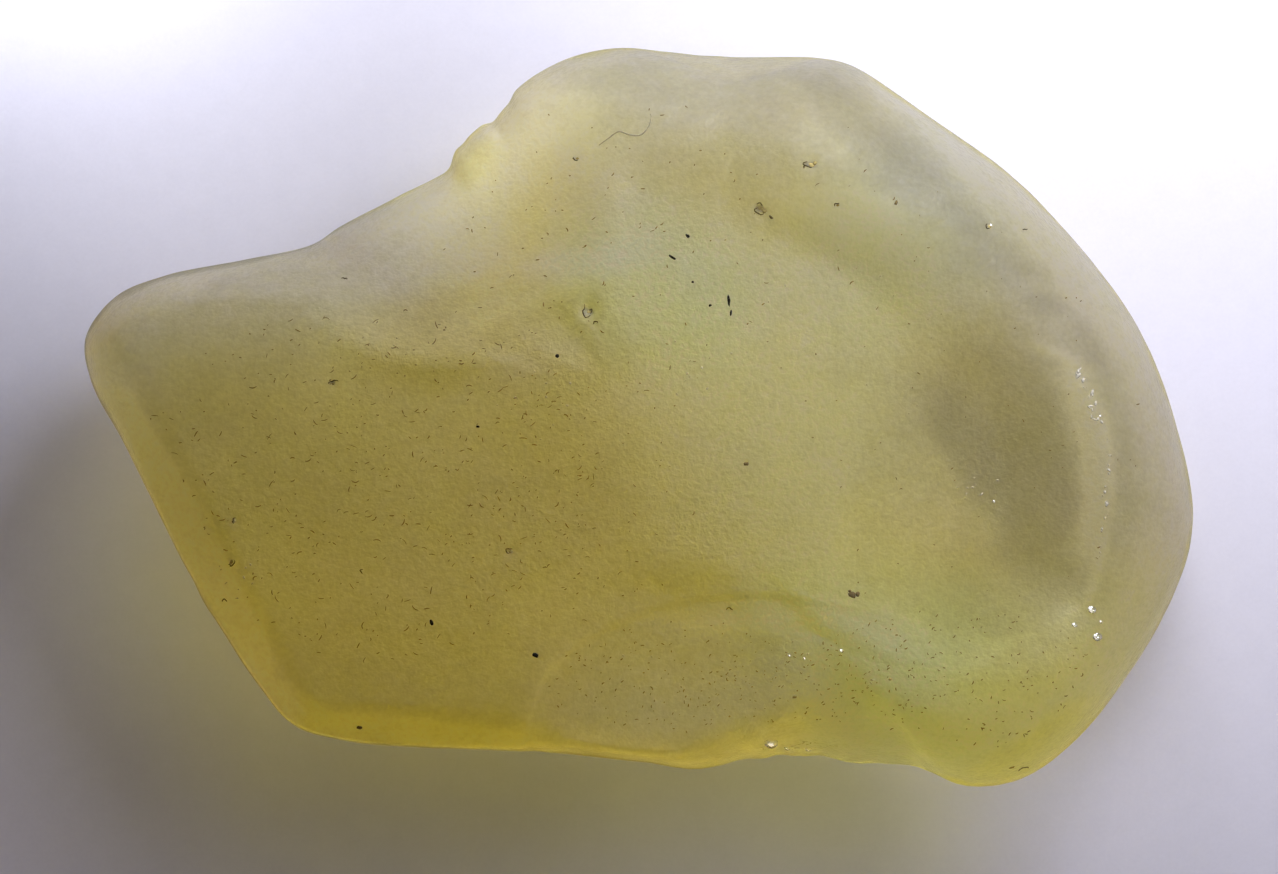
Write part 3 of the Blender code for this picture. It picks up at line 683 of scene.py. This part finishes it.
def relief(points):
    """Height in mm of the fine wear over the plain faces.

    Three sizes of smooth noise, brushed ripples on the upper lobe, the worn top facet, a bell-shaped pit under
    each of the pits' dark arcs, the scar's step and its finer grain, and a low lip along the worn lines.
    """
    x, y = points[..., 0], points[..., 1]
    height = sum(rise * noise(points, size, seed) for seed, (rise, size) in enumerate(WEAR, 1))
    lobe = patch(x, y, (1.5, 9.0), (5.0, 4.5), 0, 0.3)
    height = height + RIPPLES[0] * lobe * noise(points, RIPPLES[1], 4, *RIPPLES[2:])
    height = height - FACET_DEPTH * inside(x, y, TOP_FACET, 0.5)
    for row in PIT_DUST_AND_SHADE:
        height = height - PIT_HOLLOW[0] * row[3] * bell(np.hypot(x - row[0], y - row[1]), PIT_HOLLOW[1] * row[3])
    scar = in_scar(x, y)
    height = height - SCAR_STEP[0] * scar + SCAR_GRAIN[0] * scar * noise(points, SCAR_GRAIN[1], 5)
    height = height + SCAR_LIP[0] * bell(line_distance(x, y, SCAR_EDGE), SCAR_LIP[1])
    uneven = 1 + 0.6 * noise(points, 0.5, 6)
    height = height + RIDGE_LIP[0] * bell(line_distance(x, y, RIDGE), RIDGE_LIP[1]) * uneven
    return height - CREASE_HOLLOW[0] * bell(line_distance(x, y, CREASE_LINE), CREASE_HOLLOW[1])


def mesh_piece(name, points, faces, material, **values):
    """A mesh object at the origin, from points in mm, with the values as attributes of its points."""
    mesh = bpy.data.meshes.new(name)
    mesh.from_pydata(np.asarray(points) * MM, [], faces)
    for key, value in values.items():
        mesh.attributes.new(key, "FLOAT", "POINT").data.foreach_set("value", np.ravel(value).astype(np.float32))
    mesh.shade_smooth()
    mesh.materials.append(material)
    mesh.update()
    piece = bpy.data.objects.new(name, mesh)
    bpy.context.scene.collection.objects.link(piece)
    return piece


def worn(points, share):
    """A sheet's points moved out along their normals by the relief, which fades at the widest line."""
    fade = np.clip((1 - share) / RIM_FADE, 0, 1)
    return points + (relief(points) * fade)[..., None] * grid_normals(points)


def stone_surface():
    """Points and cells of the glass: the upper and the lower sheet, cut off flat at the ground."""
    stone = Stone()
    share, angle = disc_grid(2 * LOWER_CELLS + 1)
    x, y, rim, upper, lower = stone.sides(share, angle)
    upper = np.where(share > 1 - 1e-9, rim, upper)
    top = worn(np.stack([x, y, upper], axis=-1), share)
    every_second = (slice(None, None, 2), slice(None, None, 2))
    lower = np.where(share > 1 - 1e-9, rim, lower)
    bottom = np.stack([x, y, lower], axis=-1)[every_second]
    bottom[..., 2] *= -1
    bottom = worn(bottom, share[every_second])
    bottom[..., 2] = np.maximum(-bottom[..., 2], 0)
    points = np.concatenate([top.reshape(-1, 3), bottom[1:-1, 1:-1].reshape(-1, 3)])
    return points, closed_sheets(LOWER_CELLS)


def skin(stone, x, y):
    """Places on the worn upper side over the points x, y, and the normals there, from the slope of its height."""
    step = 0.02
    height = stone.top(x, y)
    slopes = (stone.top(x + step, y) - height) / step, (stone.top(x, y + step) - height) / step
    normal = np.stack([-slopes[0], -slopes[1], np.ones_like(height)], axis=-1)
    normal /= np.linalg.norm(normal, axis=-1)[..., None]
    points = np.stack([x, y, height], axis=-1)
    return points + relief(points)[..., None] * normal, normal


def ring_faces(rings, sides):
    """Faces round a stack of rings of points, and fans to the two end points that follow them."""
    step = np.arange(sides)
    lower = np.arange(rings - 1)[:, None] * sides + step
    upper = np.arange(rings - 1)[:, None] * sides + (step + 1) % sides
    faces = np.stack([lower, upper, upper + sides, lower + sides], axis=-1).reshape(-1, 4).tolist()
    first, last = rings * sides, rings * sides + 1
    faces += [[first, (k + 1) % sides, k] for k in range(sides)]
    return faces + [[last, first - sides + k, first - sides + (k + 1) % sides] for k in range(sides)]


def many(faces, count, size):
    """The faces of count copies of a shape of size points."""
    return [[corner + copy * size for corner in face] for copy in range(count) for face in faces]


def grains(stone, rows, seed):
    """Flat rounded grains on the glass, from rows of place, length, width and turn.

    A grain is a lens of three rings of eight points, u = r cos a and v = r sin a at the heights -0.5, 0.1 and 0.7,
    each ring's radius shaken a little, and stretched along its turn on the slope of the glass.
    """
    rows = np.array(rows, float)
    rng = np.random.default_rng(seed)
    points, normal = skin(stone, rows[:, 0], rows[:, 1])
    turn = np.radians(rows[:, 4])
    ahead = np.stack([np.cos(turn), np.sin(turn), np.zeros(len(rows))], axis=-1)
    ahead -= (ahead * normal).sum(axis=-1)[:, None] * normal
    ahead /= np.linalg.norm(ahead, axis=-1)[:, None]
    across = np.cross(normal, ahead)
    sides = 8
    angle = np.tile(np.arange(sides) * 2 * np.pi / sides, 3)
    radius = np.repeat((0.75, 1.0, 0.6), sides)
    shape = np.stack([radius * np.cos(angle), radius * np.sin(angle), np.repeat((-0.5, 0.1, 0.7), sides)], axis=-1)
    shape = np.concatenate([shape, [(0, 0, -0.8), (0, 0, 0.9)]])
    shaken = shape[None] * rng.uniform(0.75, 1.2, (len(rows), len(shape), 1))
    half = np.stack([rows[:, 2] / 2, rows[:, 3] / 2, np.minimum(rows[:, 3] * 0.3, 0.035)], axis=-1)
    local = shaken * half[:, None, :]
    local[..., 2] -= GRAIN_SINK * half[:, None, 2]
    placed = points[:, None] + local[..., :1] * ahead[:, None] + local[..., 1:2] * across[:, None]
    placed = placed + local[..., 2:] * normal[:, None]
    return placed.reshape(-1, 3), many(ring_faces(3, sides), len(rows), len(shape))


def strewn(groups, seed):
    """Rows for grains strewn at random over patches, thinning out toward their edges."""
    rng = np.random.default_rng(seed)
    rows = []
    for count, middle, radii, shortest, longest in groups:
        out = np.sqrt(rng.uniform(0, 1, count)) ** 1.2
        turn = rng.uniform(0, 2 * np.pi, count)
        length = shortest + (longest - shortest) * rng.uniform(0, 1, count) ** 2
        width = np.minimum(rng.uniform(*DASH_WIDTH, count), length)
        slant = rng.normal(15, 45, count)
        rows.append(np.stack([middle[0] + radii[0] * out * np.cos(turn), middle[1] + radii[1] * out * np.sin(turn),
                              length, width, slant], axis=-1))
    return np.concatenate(rows)


def dash_routes(groups, seed):
    """Short bent routes strewn over patches: u = s L and v = b L (4 s² - 1) / 2, for s from -1/2 to 1/2."""
    rows = strewn(groups, seed)
    rows = rows[np.hypot(rows[:, 0], rows[:, 1]) < Stone().outline(np.arctan2(rows[:, 1], rows[:, 0]))]
    rng = np.random.default_rng(seed + 1)
    rows = rows[line_distance(rows[:, 0], rows[:, 1], (*OUTLINE, OUTLINE[0])) > DASH_MARGIN]
    share = np.linspace(-0.5, 0.5, 5)
    bend = rng.normal(0, 0.25, len(rows))[:, None]
    u = rows[:, 2:3] * share
    v = rows[:, 2:3] * bend * (4 * share * share - 1) / 2
    turn = np.radians(rows[:, 4:5])
    x = rows[:, 0:1] + u * np.cos(turn) - v * np.sin(turn)
    return np.stack([x, rows[:, 1:2] + u * np.sin(turn) + v * np.cos(turn)], axis=-1)


def flakes(line, groups, seed):
    """Rows for flat flakes along a line: how many, between which shares of it, how far off it, and how long."""
    rng = np.random.default_rng(seed)
    line = np.array(line)
    steps = np.linalg.norm(np.diff(line, axis=0), axis=1)
    way = np.concatenate([[0], np.cumsum(steps)]) / steps.sum()
    rows = []
    for count, first, last, spread, longest in groups:
        share = rng.uniform(first, last, count)
        x, y = (np.interp(share, way, column) for column in line.T)
        ahead = [np.interp(np.clip(share + 0.02, 0, 1), way, column) for column in line.T]
        turn = np.degrees(np.arctan2(ahead[1] - y, ahead[0] - x)) + rng.normal(0, 30, count)
        length = longest * rng.uniform(0.3, 1.0, count) ** 1.5
        off = rng.normal(0, spread, (2, count))
        width = length * rng.uniform(0.25, 0.6, count)
        rows.append(np.stack([x + off[0], y + off[1], length, width, turn], axis=-1))
    return np.concatenate(rows)


def bubbles(stone, rows):
    """Small polished lenses that lean toward the window, from rows of place and radius.

    A lens is r sin a across and a fixed share of r cos a high, for rings at the angles a off its axis.
    """
    rows = np.array(rows, float)
    points, _ = skin(stone, rows[:, 0], rows[:, 1])
    turn, lean = np.radians(GLINT_LEAN)
    normal = np.array([np.sin(lean) * np.cos(turn), np.sin(lean) * np.sin(turn), np.cos(lean)])
    normal = np.tile(normal, (len(rows), 1))
    points = points + LENS[1] * rows[:, 2:3] * normal
    ahead = np.stack([normal[:, 2], np.zeros(len(rows)), -normal[:, 0]], axis=-1)
    ahead /= np.linalg.norm(ahead, axis=-1)[:, None]
    across = np.cross(normal, ahead)
    sides = 12
    off = np.radians((150, 110, 90, 60, 38, 16))
    turn = np.arange(sides) * 2 * np.pi / sides
    shape = np.stack([np.outer(np.sin(off), np.cos(turn)), np.outer(np.sin(off), np.sin(turn)),
                      np.outer(LENS[0] * np.cos(off), np.ones(sides))], axis=-1).reshape(-1, 3)
    shape = np.concatenate([shape, [(0, 0, -LENS[0]), (0, 0, LENS[0])]])
    local = shape[None] * rows[:, 2][:, None, None]
    placed = points[:, None] + local[..., :1] * ahead[:, None] + local[..., 1:2] * across[:, None]
    placed = placed + local[..., 2:] * normal[:, None]
    return placed.reshape(-1, 3), many(ring_faces(len(off), sides), len(rows), len(shape))


def threads(stone, routes, radius):
    """Thin threads that lie on the glass: five-sided tubes along each route, all of one number of places."""
    routes = np.asarray(routes, float)
    radius = np.broadcast_to(radius, len(routes))[:, None, None]
    points, normal = skin(stone, routes[..., 0], routes[..., 1])
    points = points + normal * radius * 0.5
    ahead = np.gradient(points, axis=1)
    ahead /= np.linalg.norm(ahead, axis=-1)[..., None]
    across = np.cross(normal, ahead)
    sides = 5
    angle = np.arange(sides) * 2 * np.pi / sides
    taper = np.sin(np.linspace(0.12, np.pi - 0.12, points.shape[1])) ** 0.4
    thick = (radius * taper[None, :, None])[..., None]
    spoke = across[:, :, None] * np.cos(angle)[:, None] + normal[:, :, None] * np.sin(angle)[:, None]
    rings = points[:, :, None] + thick * spoke
    count, places = points.shape[:2]
    size = places * sides + 2
    whole = np.concatenate([rings.reshape(count, -1, 3), points[:, :1], points[:, -1:]], axis=1)
    return whole.reshape(-1, 3), many(ring_faces(places, sides), count, size)


def pit_arcs(rows):
    """Routes round parts of ellipses, from rows of place, length, width, turn, start and run in degrees."""
    rows = np.array(rows, float)
    share = np.linspace(0, 1, 9)
    angle = np.radians(rows[:, 5:6] + 0.6 * rows[:, 6:7] * share)
    turn = np.radians(rows[:, 4:5])
    swell = 1 + 0.25 * np.sin(2.3 * angle + rows[:, 0:1]) + 0.12 * np.sin(5.1 * angle + rows[:, 1:2])
    u = rows[:, 2:3] / 2 * np.cos(angle) * swell
    v = rows[:, 3:4] / 2 * np.sin(angle) * swell
    x = rows[:, 0:1] + u * np.cos(turn) - v * np.sin(turn)
    return np.stack([x, rows[:, 1:2] + u * np.sin(turn) + v * np.cos(turn)], axis=-1)


class NodeWeb:
    """Adds nodes to a tree and links them, with shorter calls."""

    def __init__(self, tree):
        self.tree = tree

    def add(self, kind, inputs=(), **settings):
        node = self.tree.nodes.new(kind)
        for name, value in settings.items():
            setattr(node, name, value)
        for key, value in dict(inputs).items():
            socket = node.inputs[key]
            if isinstance(value, bpy.types.NodeSocket):
                self.tree.links.new(value, socket)
            else:
                socket.default_value = value
        return node


def new_material(name):
    material = bpy.data.materials.new(name)
    material.use_nodes = True
    material.node_tree.nodes.clear()
    return material, NodeWeb(material.node_tree)


def mottle_group():
    """Node group for mottling of a given size: how far a place is over or under the mean, broadly and finely."""
    group = bpy.data.node_groups.new("mottle", "ShaderNodeTree")
    group.interface.new_socket("Size", in_out="INPUT", socket_type="NodeSocketFloat")
    web = NodeWeb(group)
    size = web.add("NodeGroupInput").outputs[0]
    place = web.add("ShaderNodeTexCoord").outputs["Object"]
    ends = {}
    for name, smaller, detail in (("Broad", 1.0, 3.0), ("Fine", 6.0, 2.0)):
        group.interface.new_socket(name, in_out="OUTPUT", socket_type="NodeSocketFloat")
        scale = web.add("ShaderNodeMath", {0: smaller, 1: size}, operation="DIVIDE")
        fac = web.add("ShaderNodeTexNoise", {"Vector": place, "Scale": scale.outputs[0], "Detail": detail,
                                             "Roughness": 0.6})
        ends[name] = web.add("ShaderNodeMath", {0: fac.outputs["Fac"], 1: 4.0, 2: -2.0}, operation="MULTIPLY_ADD")
    web.add("NodeGroupOutput", {name: end.outputs[0] for name, end in ends.items()})
    return group


def mottle(web, size):
    """The mottle group's two values in a material's tree."""
    group = bpy.data.node_groups.get("mottle") or mottle_group()
    node = web.add("ShaderNodeGroup", node_tree=group)
    node.inputs["Size"].default_value = size
    return node.outputs["Broad"], node.outputs["Fine"]


def glass_material(look):
    """Frosted yellow glass; each halving of the dust attribute, which holds dust with painted light and shade,
    takes half of the light at the surface, each of tan the blue.
    """
    material, web = new_material("desert_glass")

    def count(base, *parts):
        for value, share in parts:
            base = web.add("ShaderNodeMath", {0: value, 1: share, 2: base}, operation="MULTIPLY_ADD").outputs[0]
        return base

    def halved(halvings):
        return web.add("ShaderNodeMath", {0: 0.5, 1: halvings}, operation="POWER").outputs[0]

    broad, fine = mottle(web, 0.0011)
    hue, freckle = mottle(web, 0.0026)
    # The dust attribute darkens for dust and for painted shade, and lightens for painted light.
    dust = web.add("ShaderNodeAttribute", attribute_name="dust").outputs["Fac"]
    tan = web.add("ShaderNodeAttribute", attribute_name="tan").outputs["Fac"]
    olive = web.add("ShaderNodeAttribute", attribute_name="olive").outputs["Fac"]
    dust = count(dust, (broad, look.mottling), (fine, 1.6 * look.mottling), (freckle, 0.6 * look.mottling))
    tan = count(tan, (hue, 1.5 * look.mottling), (freckle, look.mottling))
    green = count(dust, (tan, 0.06), (hue, -0.25 * look.mottling))
    tint = web.add("ShaderNodeCombineColor", {0: halved(count(dust, (olive, 1.0))), 1: halved(green),
                                                2: halved(count(dust, (tan, 1.0)))})
    height = count(broad, (fine, 0.8))
    bump = web.add("ShaderNodeBump", {"Height": height, "Distance": look.frost_depth, "Strength": 1.0})
    shader = web.add("ShaderNodeBsdfPrincipled", {
        "Base Color": tint.outputs[0],
        "Normal": bump.outputs[0],
        "Roughness": count(look.roughness, (broad, 0.04), (fine, 0.03)),
        "IOR": 1.46,
        "Transmission Weight": look.transmission,
    })
    volume = web.add("ShaderNodeVolumeAbsorption", {
        "Color": (*look.absorbed_colour, 1.0),
        "Density": look.absorption,
    })
    web.add("ShaderNodeOutputMaterial", {"Surface": shader.outputs[0], "Volume": volume.outputs[0]})
    return material


def plain_material(name, colour, roughness):
    """An opaque material whose colour is unevenly lighter and darker, for grains, dust, bruises and the fibre."""
    material, web = new_material(name)
    grain = web.add("ShaderNodeMath", {0: mottle(web, 0.0007)[1], 1: 0.5, 2: 0.5}, operation="MULTIPLY_ADD")
    shade = web.add("ShaderNodeMix", {0: grain.outputs[0], 6: (*np.multiply(colour, 0.7), 1.0),
                                      7: (*np.multiply(colour, 1.3), 1.0)}, data_type="RGBA")
    shader = web.add("ShaderNodeBsdfPrincipled", {
        "Base Color": shade.outputs[2],
        "Roughness": roughness,
        "IOR": 1.46,
        "Specular IOR Level": 0.1,
    })
    web.add("ShaderNodeOutputMaterial", {"Surface": shader.outputs[0]})
    return material


def polished_material():
    """The clear glass on the walls of an open bubble."""
    material, web = new_material("polished_glass")
    shader = web.add("ShaderNodeBsdfPrincipled", {
        "Base Color": (0.93, 0.92, 0.80, 1.0),
        "Roughness": 0.06,
        "IOR": 1.46,
        "Transmission Weight": 0.9,
        "Coat Weight": 1.0,
        "Coat IOR": 2.2,
    })
    web.add("ShaderNodeOutputMaterial", {"Surface": shader.outputs[0]})
    return material


def paper_material(look):
    material, web = new_material("white_paper")
    broad, fine = mottle(web, 0.0009)
    tooth = web.add("ShaderNodeMath", {0: broad, 1: fine}, operation="ADD")
    tooth = web.add("ShaderNodeMath", {0: tooth.outputs[0], 1: 0.25, 2: 0.5}, operation="MULTIPLY_ADD")
    shade = web.add("ShaderNodeMix", {0: tooth.outputs[0], 6: (*np.multiply(look.paper_colour, 0.97), 1.0),
                                      7: (*np.multiply(look.paper_colour, 1.03), 1.0)}, data_type="RGBA")
    shader = web.add("ShaderNodeBsdfPrincipled", {
        "Base Color": shade.outputs[2],
        "Roughness": 0.9,
        "Specular IOR Level": 0.2,
    })
    web.add("ShaderNodeOutputMaterial", {"Surface": shader.outputs[0]})
    return material


class GlassLook(bpy.types.PropertyGroup):
    roughness: bpy.props.FloatProperty(
        name="Roughness", description="How matt the blown sand has left the surface",
        default=0.55, min=0.0, max=1.0)
    transmission: bpy.props.FloatProperty(
        name="Transmission", description="Share of the light that passes into the glass", default=0.9,
        min=0.0, max=1.0)
    mottling: bpy.props.FloatProperty(
        name="Mottling", description="How unevenly the dust lies, in halvings of the light", default=0.11, min=0.0)
    frost_depth: bpy.props.FloatProperty(
        name="Frost depth", description="Height of the finest wear", subtype="DISTANCE", unit="LENGTH",
        default=0.000011, min=0.0)
    absorption: bpy.props.FloatProperty(
        name="Absorption", description="Density of the glass's colour per metre", default=115.0, min=0.0)
    absorbed_colour: bpy.props.FloatVectorProperty(
        name="Glass colour", description="Light that the glass lets through", subtype="COLOR", size=3,
        default=(0.904, 0.817, 0.043), min=0.0, max=1.0)


class StageLook(bpy.types.PropertyGroup):
    paper_colour: bpy.props.FloatVectorProperty(
        name="Paper colour", description="Colour of the paper under the glass", subtype="COLOR", size=3,
        default=(0.815, 0.805, 0.84), min=0.0, max=1.0)
    frame_width: bpy.props.FloatProperty(
        name="Frame width", description="Width of the view at the height of the widest line", subtype="DISTANCE",
        unit="LENGTH", default=0.04844)
    lens: bpy.props.FloatProperty(
        name="Lens", description="Focal length of the camera", subtype="DISTANCE_CAMERA", unit="CAMERA",
        default=140.0)
    light: bpy.props.FloatProperty(
        name="Light", description="Strength of all the windows together", default=1.0, min=0.0)
    fill: bpy.props.FloatProperty(
        name="Fill", description="Strength of the even light from all round", default=0.01, min=0.0)
    fill_colour: bpy.props.FloatVectorProperty(
        name="Fill colour", description="Colour of the even light", subtype="COLOR", size=3,
        default=(0.92, 0.72, 1.0))


class DESERTGLASS_OT_glass(bpy.types.Operator):
    """Make the worn piece of glass"""

    bl_idname = "desert_glass.glass"
    bl_label = "Glass"

    def execute(self, context):
        points, faces = stone_surface()
        # The dust attribute holds dust with painted light and shade.
        dust, tan, olive = stains_and_painted_shading(points, np.arange(len(points)) >= (2 * LOWER_CELLS + 1) ** 2)
        piece = mesh_piece("worn_glass", points, faces, glass_material(context.scene.desert_glass),
                           dust=dust, tan=tan, olive=olive)
        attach(piece, "root")
        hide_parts("glass")
        return {"FINISHED"}


class DESERTGLASS_OT_dust(bpy.types.Operator):
    """Strew the dark grains, the dashes of dust, the dust in the pits with painted shade round their rims, the
    pale bruises with painted glints among them, and the loose fibre over the glass
    """

    bl_idname = "desert_glass.dust"
    bl_label = "Dust and fibre"

    def execute(self, context):
        stone = Stone()
        black = plain_material("black_grain", (0.016, 0.014, 0.010), 0.9)
        brown = plain_material("brown_dust", (0.21, 0.125, 0.03), 0.9)
        umber = plain_material("umber_dust", (0.17, 0.125, 0.05), 0.9)
        ochre = plain_material("ochre_dust", (0.42, 0.34, 0.12), 0.9)
        shade = plain_material("pit_shade", (0.075, 0.055, 0.022), 0.9)
        # pale_bruise also colours the flecks that stand for glints: painted glints.
        pale = plain_material("pale_bruise", (0.56, 0.53, 0.40), 0.7)
        hair = plain_material("grey_fibre", (0.31, 0.28, 0.20), 0.7)
        dashes = dash_routes(DASHES, 23)
        dash_radius = np.random.default_rng(24).uniform(*THREAD_RADIUS, len(dashes))
        for name, (points, faces), material in (
                ("black_grains", grains(stone, BLACK_GRAINS, 21), black),
                ("brown_grains", grains(stone, BROWN_GRAINS, 22), umber),
                ("pit_fills", grains(stone, PIT_FILLS, 31), ochre),
                ("dust_dashes", threads(stone, dashes, dash_radius), brown),
                ("pale_bruises_and_glints", grains(stone, strewn(PALE_BRUISES_AND_GLINTS, 25), 26), pale),
                ("ridge_flakes", grains(stone, flakes(RIDGE, RIDGE_FLAKES, 27), 28), pale),
                ("chip_flakes", grains(stone, strewn(CHIP_FLAKES, 29), 30), pale),
                ("bubbles", bubbles(stone, BUBBLES), polished_material()),
                ("pit_dust_and_shade", threads(stone, pit_arcs(PIT_DUST_AND_SHADE), PIT_THREAD), shade),
                ("fibre", threads(stone, [open_curve(FIBRE)], FIBRE_RADIUS), hair)):
            piece = mesh_piece(name, points, faces, material)
            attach(piece, "root")
        return {"FINISHED"}


class DESERTGLASS_OT_stage(bpy.types.Operator):
    """Make the paper, the light and the camera"""

    bl_idname = "desert_glass.stage"
    bl_label = "Stage"

    def execute(self, context):
        look = context.scene.desert_glass_stage
        scene = context.scene
        turns = ((-1, -1), (1, -1), (1, 1), (-1, 1))
        corners = [(x * PAPER_REACH, y * PAPER_REACH, PAPER_DROP) for x, y in turns]
        paper = mesh_piece("paper", corners, [(0, 1, 2, 3)], paper_material(look))

        for name, bearing, elevation, width, height, power, colour, aim, spread in LAMPS:
            light = bpy.data.lights.new(name, "AREA")
            light.shape = "RECTANGLE"
            light.size, light.size_y = width * MM, height * MM
            light.energy = power * look.light
            light.color = colour
            lamp = bpy.data.objects.new(name, light)
            scene.collection.objects.link(lamp)
            lamp.visible_camera = False
            turn, tilt = np.radians(bearing), np.radians(elevation)
            toward = np.array([np.cos(turn) * np.cos(tilt), np.sin(turn) * np.cos(tilt), np.sin(tilt)])
            light.spread = np.radians(spread)
            lamp.location = toward * LAMP_DISTANCE * MM
            ahead = Vector((*aim, 0.0)) * MM - lamp.location
            lamp.rotation_euler = ahead.to_track_quat("-Z", "Y").to_euler()

        world = bpy.data.worlds.new("room")
        scene.world = world
        world.use_nodes = True
        background = world.node_tree.nodes["Background"]
        background.inputs["Color"].default_value = (*look.fill_colour, 1.0)
        background.inputs["Strength"].default_value = look.fill

        camera = bpy.data.cameras.new("overhead")
        camera.lens = look.lens
        camera.sensor_width = SENSOR
        camera.clip_start = 0.001
        eye = bpy.data.objects.new("overhead", camera)
        eye.location = (EYE[0] * MM, EYE[1] * MM, EYE[2] * MM + look.frame_width * look.lens / SENSOR)
        scene.collection.objects.link(eye)
        scene.camera = eye
        scene.view_settings.view_transform = "Standard"
        return {"FINISHED"}


class DESERTGLASS_PT_panel(bpy.types.Panel):
    bl_idname = "DESERTGLASS_PT_panel"
    bl_label = "Desert Glass"
    bl_space_type = "VIEW_3D"
    bl_region_type = "UI"
    bl_category = "Desert Glass"

    def draw(self, context):
        layout = self.layout
        for group, operator in ((context.scene.desert_glass, "desert_glass.glass"),
                                (context.scene.desert_glass_stage, "desert_glass.stage")):
            box = layout.box()
            for name in group.__annotations__:
                box.prop(group, name)
            box.operator(operator)
        layout.operator("desert_glass.dust")


CLASSES = (
    GlassLook, StageLook, DESERTGLASS_OT_glass, DESERTGLASS_OT_dust, DESERTGLASS_OT_stage, DESERTGLASS_PT_panel,
)


def register():
    for cls in CLASSES:
        bpy.utils.register_class(cls)
    bpy.types.Scene.desert_glass = bpy.props.PointerProperty(type=GlassLook)
    bpy.types.Scene.desert_glass_stage = bpy.props.PointerProperty(type=StageLook)


def unregister():
    del bpy.types.Scene.desert_glass_stage
    del bpy.types.Scene.desert_glass
    for cls in reversed(CLASSES):
        bpy.utils.unregister_class(cls)


def main():
    register()
    bpy.ops.desert_glass.glass()
    bpy.ops.desert_glass.dust()
    bpy.ops.desert_glass.stage()


if __name__ == "__main__":
    main()
